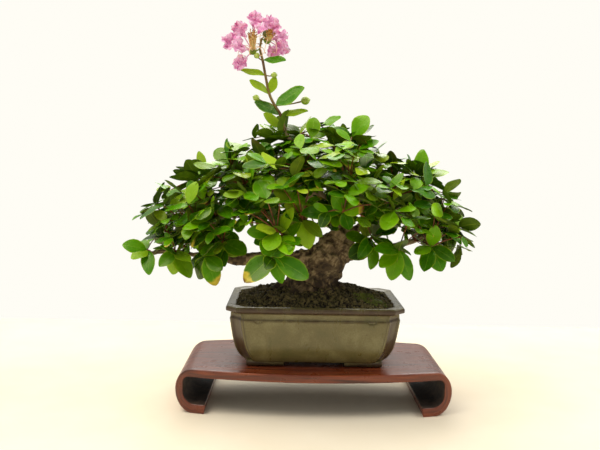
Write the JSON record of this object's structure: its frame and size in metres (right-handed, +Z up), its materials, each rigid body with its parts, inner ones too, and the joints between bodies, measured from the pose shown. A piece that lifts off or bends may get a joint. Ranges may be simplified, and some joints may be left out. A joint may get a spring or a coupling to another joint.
{
  "type": "bonsai tree in a pot",
  "caption": "Small flowering crape-myrtle bonsai in a glazed rectangular pot, standing on a scroll-ended wooden display stand.",
  "frame": {"origin": "centre of the overall bounding box, at the level that the stand rests on", "axes": "+Z up, +X along the pot and stand towards the right seen from the tree's front, +Y away from the front"},
  "size_m": [0.2476, 0.1468, 0.2776],
  "materials": {
    "stand_wood": "satin red-brown lacquer",
    "celadon_glaze": "olive green glaze, brown where it runs thin",
    "mesh_plastic": "matte",
    "aluminium_wire": "satin",
    "soil": "matte, granular",
    "moss": "matte",
    "bark": "matte, flaking",
    "leaf": "satin, waxy",
    "petal": "matte, crinkled"
  },
  "bodies": {
    "root": {"apex_branch": "bark", "back_branch": "bark", "back_left": "bark", "drain_clip_left": "aluminium_wire", "drain_clip_right": "aluminium_wire", "drain_screen_left": "mesh_plastic", "drain_screen_right": "mesh_plastic", "flower_left": "petal", "flower_right": "petal", "flower_stalk": "leaf", "front_branch": "bark", "leader": "bark", "left_lateral": "bark", "left_limb": "bark", "left_upper": "bark", "moss": "moss", "pot": "celadon_glaze", "right_branch": "bark", "right_upper": "bark", "shoot_apex_back": "leaf", "shoot_apex_front": "leaf", "shoot_apex_left": "leaf", "shoot_apex_round": "leaf", "shoot_back_left_low": "leaf", "shoot_back_left_mid": "leaf", "shoot_back_mid": "leaf", "shoot_back_right": "leaf", "shoot_crown_left": "leaf", "shoot_crown_left_back": "leaf", "shoot_crown_left_front": "leaf", "shoot_crown_left_top": "leaf", "shoot_front_drop": "leaf", "shoot_front_low": "leaf", "shoot_front_mid": "leaf", "shoot_front_wide": "leaf", "shoot_leader_back": "leaf", "shoot_leader_front": "leaf", "shoot_leader_left": "leaf", "shoot_leader_right": "leaf", "shoot_left_back": "leaf", "shoot_left_front": "leaf", "shoot_left_hanging": "leaf", "shoot_left_inner": "leaf", "shoot_left_low": "leaf", "shoot_left_outer": "leaf", "shoot_left_shoulder": "leaf", "shoot_left_spire": "leaf", "shoot_left_tip": "leaf", "shoot_right_front": "leaf", "shoot_right_hanging": "leaf", "shoot_right_inner": "leaf", "shoot_right_low": "leaf", "shoot_right_shoulder": "leaf", "shoot_right_spire": "leaf", "shoot_right_tip": "leaf", "shoot_right_top": "leaf", "soil": "soil", "stand": "stand_wood", "trunk": "bark"}
  },
  "joints": []
}
